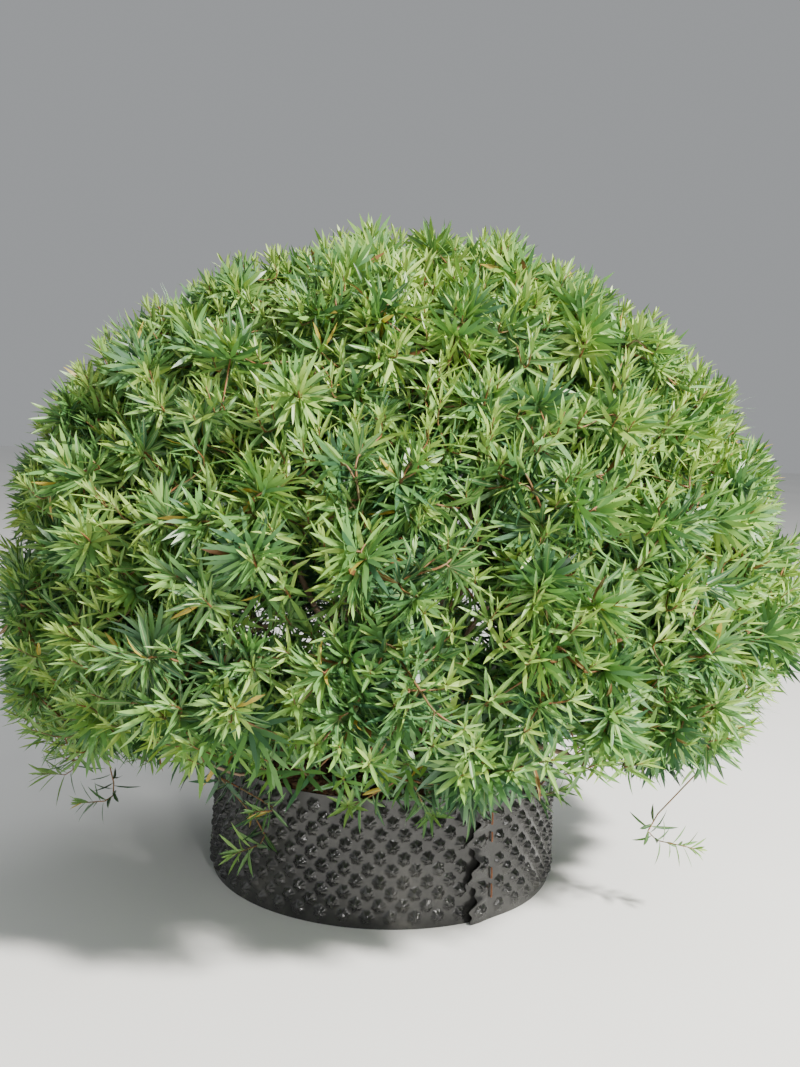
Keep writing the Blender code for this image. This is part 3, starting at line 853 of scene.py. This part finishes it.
def tubes(limbs, sides, relief=None):
    """Closed tubes along limbs of (points, radii), with the radius at each face.

    Every point gets a ring square to the limb's direction; a point in the middle closes each end.
    """
    points = np.concatenate([path for path, _ in limbs])
    radii = np.concatenate([radius for _, radius in limbs])
    last = np.cumsum([len(path) for path, _ in limbs]) - 1
    first = np.concatenate(([0], last[:-1] + 1))
    body = np.setdiff1d(np.arange(len(points)), last)
    turn = np.arange(sides) * math.tau / sides
    radius = radii[:, None] * np.ones(sides)
    if relief is not None:
        radius = radius * relief(points, turn)
    side, up = limb_axes(limbs)
    spokes = side[:, None] * np.cos(turn)[None, :, None] + up[:, None] * np.sin(turn)[None, :, None]
    rings = (points[:, None] + spokes * radius[..., None]).reshape(-1, 3)
    faces = tube_faces(body, first, last, sides, len(rings))
    thickness = np.concatenate(((radii[body] + radii[body + 1]) / 2, radii[first], radii[last]))
    return np.concatenate((rings, points[first], points[last])), faces, np.repeat(thickness, sides)


def limb_axes(limbs):
    """Two directions square to each limb at its points: crosses with the axis that it least follows."""
    along = np.concatenate([unit(np.gradient(path, axis=0)) for path, _ in limbs])
    spans = np.array([path[-1] - path[0] for path, _ in limbs])
    lengths = [len(path) for path, _ in limbs]
    reference = np.repeat(np.eye(3)[np.argmin(np.abs(spans), axis=1)], lengths, axis=0)
    side = unit(np.cross(along, reference))
    return side, np.cross(side, along)


def tube_faces(body, first, last, sides, first_pole):
    """Quads from ring to ring, and triangles from the rings at both ends to the points that close them."""
    around = np.arange(sides)
    onward = (around + 1) % sides
    here = body[:, None] * sides + around
    following = body[:, None] * sides + onward
    quads = np.stack((here, here + sides, following + sides, following), axis=-1).reshape(-1, 4)
    poles = np.repeat(first_pole + np.arange(2 * len(first)).reshape(2, -1, 1), sides, axis=2)
    feet = np.stack((poles[0], first[:, None] * sides + around, first[:, None] * sides + onward), axis=-1)
    ends = np.stack((poles[1], last[:, None] * sides + onward, last[:, None] * sides + around), axis=-1)
    return [quads, np.concatenate((feet.reshape(-1, 3), ends.reshape(-1, 3)))]


def bark_relief(points, turn):
    """Fissures and leaf scars: three crossed sine waves over the way along the limb and round it."""
    way = (points @ BARK_DIRECTION)[:, None]
    coarse, fine = FISSURE_DEPTHS
    return (1.0 + coarse * np.sin(turn * 5 + way * 210) + fine * np.sin(turn * 3 - way * 520)
            + SCAR_DEPTH * np.sin(way * 1500 + 2 * np.sin(turn)))


def flared_relief(points, turn):
    """The stem's bark, with the root flare's lobes near the soil."""
    low = np.clip((FLARE_TOP - points[:, 2:3]) / FLARE_FADE, 0.0, 1.0) ** 2
    return bark_relief(points, turn) * (1.0 + LOBE_DEPTH * low * np.cos(FLARE_LOBES * turn + LOBE_TURN))


# Crown and the tips of its shoots

def skirt_height(azimuth):
    """Height of the crown's lower edge, which droops on the left."""
    return SKIRT_HEIGHT - SKIRT_DROOP * max(0.0, -math.cos(azimuth)) ** 3


def crown_reach(heading):
    """Distance from the crown's centre to its outline in one direction.

    Above and below the centre the outline is a rounded block: its level and upright shares, each raised
    to a power, sum to 1. A tuft stands on top, slow waves go round it, and the skirt's height ends it.
    """
    power, tall = (DOME_POWER, CROWN_ABOVE) if heading.z > 0 else (SKIRT_POWER, CROWN_BELOW)
    azimuth = math.atan2(heading.y, heading.x)
    level = math.hypot(heading.x, heading.y) / CROWN_RADIUS
    rise = abs(heading.z) / tall
    reach = (level ** power + rise ** power) ** (-1.0 / power)
    reach += TOP_TUFT * math.exp(-(level * CROWN_RADIUS / TUFT_RADIUS) ** 2) * (heading.z > 0)
    reach *= 1.0 + CROWN_WAVE * math.sin(3.0 * azimuth + 1.0) * math.cos(heading.z * 4.0)
    floor = skirt_height(azimuth) - CROWN_CENTRE.z
    if heading.z * reach < floor:
        reach = floor / heading.z
    return reach


def shoot_tips(count, inset, loose, chance):
    """Shoot tips spread over the crown's skin by the golden angle, each a little in or out."""
    tips = []
    for number in range(count):
        height = 1.0 - (1.0 - LOWEST_SLOPE) * (number + 0.5) / count
        level = math.sqrt(1.0 - height * height)
        azimuth = number * GOLDEN_ANGLE + chance.uniform(-AZIMUTH_JITTER, AZIMUTH_JITTER)
        heading = Vector((level * math.cos(azimuth), level * math.sin(azimuth), height))
        wave = SKIN_WAVE * math.sin(azimuth * 5.0 + height * 9.0) * math.sin(height * 13.0 - azimuth * 2.0)
        depth = max(inset + chance.gauss(0.0, loose), 0.0) + wave
        if inset == OUTER_INSET and chance.random() < LEADERS:
            depth -= chance.uniform(*LEADER_LENGTHS)
        tip = CROWN_CENTRE + heading * (crown_reach(heading) - depth)
        tip.z = min(tip.z, HIGHEST_TIP)
        tips.append(tip)
    return tips


def above_underside(tip):
    """Whether a tip keeps above the crown's underside.

    The underside rises outward near the crown's edge, and sooner in front of the pot.
    """
    level = math.hypot(tip.x, tip.y)
    front = min(1.0, max(0.0, -FRONT_SPREAD * tip.y / level)) if level > 0 else 0.0
    front_rise = front * (FRONT_LIFT + FRONT_SLOPE * max(0.0, level - FRONT_START))
    rise = max(0.0, front_rise, SIDE_SLOPE * (level - SIDE_START))
    return tip.z > min(LOWEST_TIP, skirt_height(math.atan2(tip.y, tip.x))) + rise


def clear_of_pot(place):
    """Whether a place is above the rim or outside the wall."""
    above = place.z > POT_HEIGHT + RIM_MARGIN
    return above or math.hypot(place.x, place.y) > BASE_RADIUS + POT_MARGIN


def deal_tips():
    """Every mass with its bough and its own share of the shoot tips, outer and inner ones."""
    masses = plan_masses()
    chance = random.Random("tips")
    outer = shoot_tips(plant().shoots, OUTER_INSET, OUTER_SPREAD, chance)
    inner = shoot_tips(plant().inner_shoots, INNER_INSET, INNER_SPREAD, chance)
    tips = [(tip, OUTER_VIGOUR) for tip in outer if above_underside(tip)]
    tips += [(tip, INNER_VIGOUR) for tip in inner if above_underside(tip)]
    tips += [(tip, TRAILING_VIGOUR) for tip in TRAILING_TIPS]
    for mass in masses:
        mass["tips"] = []
    for tip, vigour in tips:
        if clear_of_pot(tip):
            from_head = tip - HEAD
            nearest = max(masses, key=lambda mass: from_head.dot(mass["axis"]))
            nearest["tips"].append((tip, vigour))
    return masses


# Twigs

def shoot_heading(tip):
    """Shoots turn outward and up; low ones lie nearly level."""
    outward = (tip - CROWN_CENTRE).normalized()
    outward.z = max(outward.z, LOWEST_LEAN)
    rise = RISE * min(1.0, max(0.0, (tip.z - LEVEL_HEIGHT) / RISING_RANGE))
    return (outward + Vector((0.0, 0.0, rise))).normalized()


def split_tips(tips):
    """Two halves of the tips, parted along the axis on which they spread most."""
    spans = [max(place[axis] for place in tips) - min(place[axis] for place in tips) for axis in range(3)]
    widest = spans.index(max(spans))
    ordered = sorted(tips, key=lambda place: place[widest])
    half = len(ordered) // 2
    return ordered[:half], ordered[half:]


def twig_radius(tips):
    """A limb is as thick as the tips that it bears ask for."""
    return TWIG_RADIUS * len(tips) ** TWIG_GROWTH


def grow_limbs(start, heading, tips, chance):
    """Fork from one stem to all tips: at each fork half of them go on with the stem, half leave it."""
    stem = [(start, twig_radius(tips))]
    sides = []
    while len(tips) > 1:
        middle = sum(tips, Vector()) / len(tips)
        node = start + (middle - start) * FORK_STEP
        node = node.lerp(start + heading * (node - start).length, FORK_FOLLOW)
        jitter = FORK_JITTER * min(1.0, len(tips) / FULL_JITTER_TIPS)
        node += Vector([chance.uniform(-jitter, jitter) for _ in range(3)])
        if not clear_of_pot(node):
            node.z = max(node.z, POT_HEIGHT + RIM_LIFT)
        heading = (node - start).normalized()
        start = node
        stem.append((node, twig_radius(tips)))
        leaving, tips = split_tips(tips)
        sides += grow_limbs(node, heading, leaving, chance)
    tip = tips[0]
    lean = shoot_heading(tip)
    length = min((tip - start).length * SHOOT_SHARE, SHOOT_LENGTH)
    stem.append((tip - lean * length, TWIG_RADIUS))
    stem.append((tip, TWIG_RADIUS * TWIG_TAPER))
    return [stem] + sides


def grow_mass(mass):
    """One mass's limbs as smooth (points, radii), from the bough's tip to every shoot tip."""
    chance = random.Random("mass " + mass["name"])
    path = mass["bough"]
    heading = (path[-1] - path[-2]).normalized()
    places = [tip for tip, _ in mass["tips"]]
    limbs = grow_limbs(path[-1] + heading * STEM_COLLAR, heading, places, chance)
    limbs[0].insert(0, (path[-1] - heading * STEM_ROOT, BOUGH_TIP_RADIUS * STEM_ROOT_SHARE))
    return [smooth_limb(limb, TWIG_CURVE_STEPS) for limb in limbs]


# Leaves

def shoot_leaves(path, chance, leaves, vigour):
    """One shoot's leaves, in a spiral down from its tip: root, heading, upper side, size, age and whim.

    Each leaf turns by the golden angle from the one above. The spread from the stem grows with a power
    of the age, which runs from 0 at the tip to 1, and the whim shifts the whole shoot's tint.
    """
    order = np.arange(leaves)
    spacing = FIRST_SPACING + ADDED_SPACING * np.minimum(order / CLOSE_LEAVES, 1.0)
    root, stem = leaf_roots(path, np.cumsum(spacing) * vigour)
    age = order / (leaves - 1)
    jitter = chance.normal(0.0, SPREAD_JITTER, leaves)
    spread = np.radians(UPRIGHT + ADDED_SPREAD * age ** SPREAD_POWER + jitter)
    turn = chance.uniform(0.0, math.tau) + order * GOLDEN_ANGLE
    side = unit(np.cross(stem, ODD_DIRECTION))
    other = np.cross(stem, side)
    around = side * np.cos(turn)[:, None] + other * np.sin(turn)[:, None]
    heading = unit(stem * np.cos(spread)[:, None] + around * np.sin(spread)[:, None])
    upper = unit(stem * np.sin(spread)[:, None] - around * np.cos(spread)[:, None] + UPWARD_FACE)
    size = np.interp(age, SIZE_AGES, SIZES) * vigour
    size = size * chance.uniform(*SIZE_RANGE, leaves)
    return root, heading, upper, size, age, np.full(leaves, chance.normal(0.0, SHOOT_TINT_JITTER))


def leaf_roots(path, down):
    """Places at the given ways down from a shoot's tip, and the stem's direction there."""
    steps = np.linalg.norm(np.diff(path, axis=0), axis=1)
    travelled = np.concatenate(([0.0], np.cumsum(steps[::-1])))
    backwards = path[::-1]
    down = np.minimum(down, travelled[-1] * LEAFY_SHARE)
    ahead = places_along(backwards, travelled, np.maximum(down - STEM_SAMPLE, 0.0))
    behind = places_along(backwards, travelled, down + STEM_SAMPLE)
    return places_along(backwards, travelled, down), unit(ahead - behind)


def places_along(path, travelled, ways):
    """Points on a path at the given ways from its start."""
    return np.stack([np.interp(ways, travelled, path[:, axis]) for axis in range(3)], axis=-1)


def leaf_tints(age, shade, chance):
    """Which tint a leaf takes: yellow-green at the tip, blue-green when old; the shade score adds painted
    shade (darker tints) inside the crown and painted light (brighter tints) high up.
    """
    score = FIRST_TINT + age * AGE_TINTS + shade + chance.normal(0.0, TINT_JITTER, len(age))
    tint = np.clip(np.round(score), 0, GREEN_TINTS - 1).astype(int)
    fading = chance.random(len(age)) < FADING + FADING_WHEN_OLD * (age > OLD_AGE)
    yellowing = chance.random(fading.sum()) < YELLOWING_SHARE
    tint[fading] = np.where(yellowing, GREEN_TINTS, GREEN_TINTS + 1)
    return tint


def mass_leaves(mass, limbs, inner):
    """What shapes one mass's leaves, and their tints, for its outer or its inner shoots."""
    chance = np.random.default_rng(name_seed(mass["name"]) + inner)
    tips = np.array([tip for tip, _ in mass["tips"]])
    vigours = np.array([vigour for _, vigour in mass["tips"]])
    parts = []
    for path, _ in limbs:
        vigour = vigours[np.argmin(np.linalg.norm(tips - path[-1], axis=1))]
        if (vigour < WEAK_VIGOUR) == inner:
            count = int(plant().leaves * chance.uniform(*COUNT_RANGE) * (INNER_LEAVES if inner else 1.0))
            size = chance.uniform(*SHOOT_SIZE_RANGE) * (INNER_SIZE if inner else vigour)
            parts.append(shoot_leaves(path, chance, count, size))
    root, heading, upper, size, age, whim = (np.concatenate(column) for column in zip(*parts))
    length = plant().leaf_length * size
    width = plant().leaf_width * np.clip(size, *WIDTH_RANGE)
    bend = FIRST_BEND + ADDED_BEND * age ** BEND_POWER * chance.uniform(*BEND_RANGE, len(age))
    fold = chance.uniform(*FOLD_RANGE, len(age))
    # Painted shade: the nearer a leaf is to the crown's centre, the darker its tint
    outward = np.linalg.norm((root - np.array(CROWN_CENTRE)) / SHADE_SPANS, axis=1)
    depth = np.clip(SHADE_START - outward, 0.0, 1.0) * SHADE_TINTS
    # Painted light: the higher a leaf is, the brighter its tint
    light = np.clip((root[:, 2] - LIGHT_START) * LIGHT_SLOPE, 0.0, 1.0)
    tints = leaf_tints(age, depth - light * LIGHT_TINTS + whim, chance)
    return (root, heading, upper, length, width, bend, fold), tints


def name_seed(name):
    """A steady number from a name."""
    return sum((place + 1) * ord(letter) for place, letter in enumerate(name))


def leaf_shapes(root, along, upper, length, width, bend, fold):
    """Points of many leaves at once, fifteen for each.

    A leaf's middle line runs along its heading and sinks by bend times the square of the way. At three
    stations its edges stand off by the half width and rise by the fold; between them runs a narrow rib.
    """
    across = unit(np.cross(upper, along))
    upper = np.cross(along, across)
    stations = np.array(LEAF_STATIONS)
    middle = (root[:, None] + along[:, None] * (length[:, None] * stations)[..., None]
              - upper[:, None] * (length[:, None] * bend[:, None] * stations ** 2)[..., None])
    half = width[:, None] / 2 * np.array(EDGE_SHARES)
    side = across[:, None] * half[..., None]
    lift = upper[:, None] * (half * fold[:, None])[..., None]
    ridge = across[:, None] * (width[:, None] * RIB_SHARE / 2 * np.array(RIB_TAPER))[..., None]
    foot = np.stack((middle[:, 0] + ridge[:, 0], middle[:, 0] - ridge[:, 0]), axis=1)
    rows = np.stack((middle + side + lift, middle + ridge, middle - ridge, middle - side + lift), axis=2)
    return np.concatenate((foot, rows[:, 1:4].reshape(len(root), 12, 3), middle[:, 4:5]), axis=1)


def leaf_faces(tints):
    """Faces of all leaves, and for each the number of its finish: its tint's, or the rib's."""
    faces = [each(part, LEAF_POINTS, len(tints)) for part in (LEAF_TRIANGLES, LEAF_QUADS)]
    ribs = len(LEAF_TINTS)
    of_triangles = np.where(TRIANGLE_IS_RIB, ribs, tints[:, None]).ravel()
    of_quads = np.where(QUAD_IS_RIB, ribs, tints[:, None]).ravel()
    return faces, np.concatenate((of_triangles, of_quads))


def plain_leaf_shapes(root, along, upper, length, width, bend, fold):
    """Six points for each of the leaves inside the crown, sunk and folded as the others are."""
    across = unit(np.cross(upper, along))
    upper = np.cross(along, across)
    sink = (length * bend)[:, None] * PLAIN_STATIONS ** 2 - np.abs(PLAIN_SIDES) * (width * fold)[:, None]
    return (root[:, None] + along[:, None] * (length[:, None] * PLAIN_STATIONS)[..., None]
            + across[:, None] * (width[:, None] * PLAIN_SIDES)[..., None]
            - upper[:, None] * sink[..., None])


def plain_leaf_faces(tints):
    """Faces of the plain leaves, and for each the number of its tint."""
    faces = [each(part, len(PLAIN_STATIONS), len(tints)) for part in (PLAIN_TRIANGLES, PLAIN_QUADS)]
    return faces, np.concatenate((np.repeat(tints, len(PLAIN_TRIANGLES)), tints))


# Prefix of the piece, whether it is inside the crown, and what makes its points and faces
LEAF_KINDS = (
    ("leaves_", False, leaf_shapes, leaf_faces),
    ("inner_leaves_", True, plain_leaf_shapes, plain_leaf_faces),
)


# Floor, light and camera

def add_floor():
    """A square floor a hair under the pot."""
    corners = np.array(((-1, -1, 0), (1, -1, 0), (1, 1, 0), (-1, 1, 0))) * FLOOR_HALF_SIZE
    face = np.array(((0, 1, 2, 3),))
    floor = add_piece("floor", corners - (0, 0, FLOOR_DROP), [face], [finish("pale floor", floor_finish)])


def add_world():
    """Even pale light from all sides."""
    world = bpy.data.worlds.new("studio")
    world.use_nodes = True
    background = world.node_tree.nodes["Background"]
    background.inputs["Color"].default_value = SKY_COLOUR
    background.inputs["Strength"].default_value = SKY_STRENGTH
    bpy.context.scene.world = world


def add_light(name, place, size, power, colour):
    """A round soft light, aimed at the crown."""
    light = bpy.data.lights.new(name, "AREA")
    light.shape = "DISK"
    light.size = size
    light.energy = power
    light.color = colour
    lamp = bpy.data.objects.new(name, light)
    bpy.context.scene.collection.objects.link(lamp)
    lamp.location = place
    aim = LIGHT_AIM - Vector(place)
    lamp.rotation_euler = aim.to_track_quat("-Z", "Y").to_euler()


def add_camera():
    """The scene's camera, pitched down and rolled about its own axis."""
    camera = bpy.data.objects.new("camera", bpy.data.cameras.new("camera"))
    bpy.context.scene.collection.objects.link(camera)
    camera.data.sensor_width = SENSOR
    camera.data.lens = FOCAL_PIXELS / PHOTO_HEIGHT * SENSOR
    pitch = Matrix.Rotation(math.radians(90.0 - CAMERA_PITCH), 4, "X")
    roll = Matrix.Rotation(math.radians(CAMERA_ROLL), 4, "Z")
    camera.matrix_world = Matrix.Translation(CAMERA_PLACE) @ pitch @ roll
    bpy.context.scene.camera = camera


# Operators

class SPURGE_OT_stage(bpy.types.Operator):
    """Set the floor, the lights and the camera."""
    bl_idname = "spurge.stage"
    bl_label = "Stage"

    def execute(self, context):
        add_floor()
        add_world()
        for name, settings in LIGHTS.items():
            add_light(name, *settings)
        add_camera()
        return {"FINISHED"}


class SPURGE_OT_pot(bpy.types.Operator):
    """Make the pot's rolled and studded sheet, and finish its floor, its soil and its ties."""
    bl_idname = "spurge.pot"
    bl_label = "Pot"

    def execute(self, context):
        points, faces = pot_surface()
        wall = add_piece("pot_sheet", points, faces, [finish("black film", plastic_finish)])
        wall.data.set_sharp_from_angle(angle=SHARP_EDGE)
        put_in_place(wall, "pot_plastic", "pot_wall")
        dress_node("pot_base", finish("black film", plastic_finish))
        dress_node("soil", finish("potting soil", soil_finish))
        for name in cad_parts:
            if name.startswith("seam_tie"):
                dress_node(name, finish("rusty wire", rust_finish))
        return {"FINISHED"}


class SPURGE_OT_mulch(bpy.types.Operator):
    """Scatter bark chips on the soil."""
    bl_idname = "spurge.mulch"
    bl_label = "Mulch"

    def execute(self, context):
        points, faces, colours = chip_shapes(pot().chips)
        finishes = [finish(f"bark chip {number}", chip_finish(colour))
                    for number, colour in enumerate(CHIP_COLOURS)]
        chips = add_piece("mulch", points, faces, finishes, colours, smooth=False)
        put_in_place(chips, "soil")
        return {"FINISHED"}


class SPURGE_OT_limbs(bpy.types.Operator):
    """Make the stem and the boughs with their bark."""
    bl_idname = "spurge.limbs"
    bl_label = "Stem and boughs"

    def execute(self, context):
        bark = finish("bark", bark_finish)
        path, radius = stem_path()
        points, faces, _ = tubes([(path, radius)], STEM_SIDES, flared_relief)
        stem = add_piece("stem", points, faces, [bark])
        put_in_place(stem, "bark", "trunk")
        masses = plan_masses()
        limbs = []
        for mass in masses:
            share = np.linspace(0.0, 1.0, len(mass["bough"]))
            radii = BOUGH_FOOT_RADIUS + (BOUGH_TIP_RADIUS - BOUGH_FOOT_RADIUS) * share
            limbs.append(smooth_limb(list(zip(mass["bough"], radii)), BOUGH_CURVE_STEPS))
        points, faces, _ = tubes(limbs, BOUGH_SIDES, bark_relief)
        boughs = add_piece("boughs", points, faces, [bark])
        put_in_place(boughs, "bark", *["bough_" + mass["name"] for mass in masses])
        return {"FINISHED"}


class SPURGE_OT_foliage(bpy.types.Operator):
    """Grow each mass's twigs and leaves from its bough."""
    bl_idname = "spurge.foliage"
    bl_label = "Twigs and leaves"

    def execute(self, context):
        twig_skins = [finish("bark", bark_finish), finish("young wood", twig_finish)]
        leaf_skins = [finish(f"leaf {name}", leaf_finish(colour, LEAF_GLOW))
                      for name, colour in LEAF_TINTS.items()]
        leaf_skins.append(finish("leaf rib", leaf_finish(RIB_COLOUR, RIB_GLOW)))
        for mass in deal_tips():
            node = "foliage_" + mass["name"]
            limbs = grow_mass(mass)
            points, faces, radius = tubes(limbs, TWIG_SIDES)
            young = radius < YOUNG_TWIG_RADIUS
            twigs = add_piece("twigs_" + mass["name"], points, faces, twig_skins, young)
            put_in_place(twigs, "bark", node)
            for prefix, inner, make_points, make_faces in LEAF_KINDS:
                shapes, tints = mass_leaves(mass, limbs, inner)
                faces, indices = make_faces(tints)
                leaves = add_piece(prefix + mass["name"], make_points(*shapes), faces, leaf_skins, indices)
                put_in_place(leaves, "foliage", node)
        return {"FINISHED"}


# Panel and registration

OPERATORS = (SPURGE_OT_stage, SPURGE_OT_pot, SPURGE_OT_mulch, SPURGE_OT_limbs, SPURGE_OT_foliage)


class SPURGE_PT_panel(bpy.types.Panel):
    """Buttons for the plant's pieces."""
    bl_label = "Tree Spurge"
    bl_idname = "SPURGE_PT_panel"
    bl_space_type = "VIEW_3D"
    bl_region_type = "UI"
    bl_category = "Spurge"

    def draw(self, context):
        for group in (context.scene.spurge_plant, context.scene.spurge_pot):
            for name in group.__annotations__:
                self.layout.prop(group, name)
        for operator in OPERATORS:
            self.layout.operator(operator.bl_idname)


CLASSES = (PlantSettings, PotSettings, *OPERATORS, SPURGE_PT_panel)


def register():
    for item in CLASSES:
        bpy.utils.register_class(item)
    bpy.types.Scene.spurge_plant = PointerProperty(type=PlantSettings)
    bpy.types.Scene.spurge_pot = PointerProperty(type=PotSettings)


def unregister():
    del bpy.types.Scene.spurge_pot
    del bpy.types.Scene.spurge_plant
    for item in reversed(CLASSES):
        bpy.utils.unregister_class(item)


def plain(box):
    """A box's corners as plain lists."""
    return [[float(number) for number in corner] for corner in box]


def main():
    """Make all pieces."""
    register()
    bpy.ops.spurge.stage()
    bpy.ops.spurge.pot()
    bpy.ops.spurge.mulch()
    bpy.ops.spurge.limbs()
    bpy.ops.spurge.foliage()


if __name__ == "__main__":
    main()
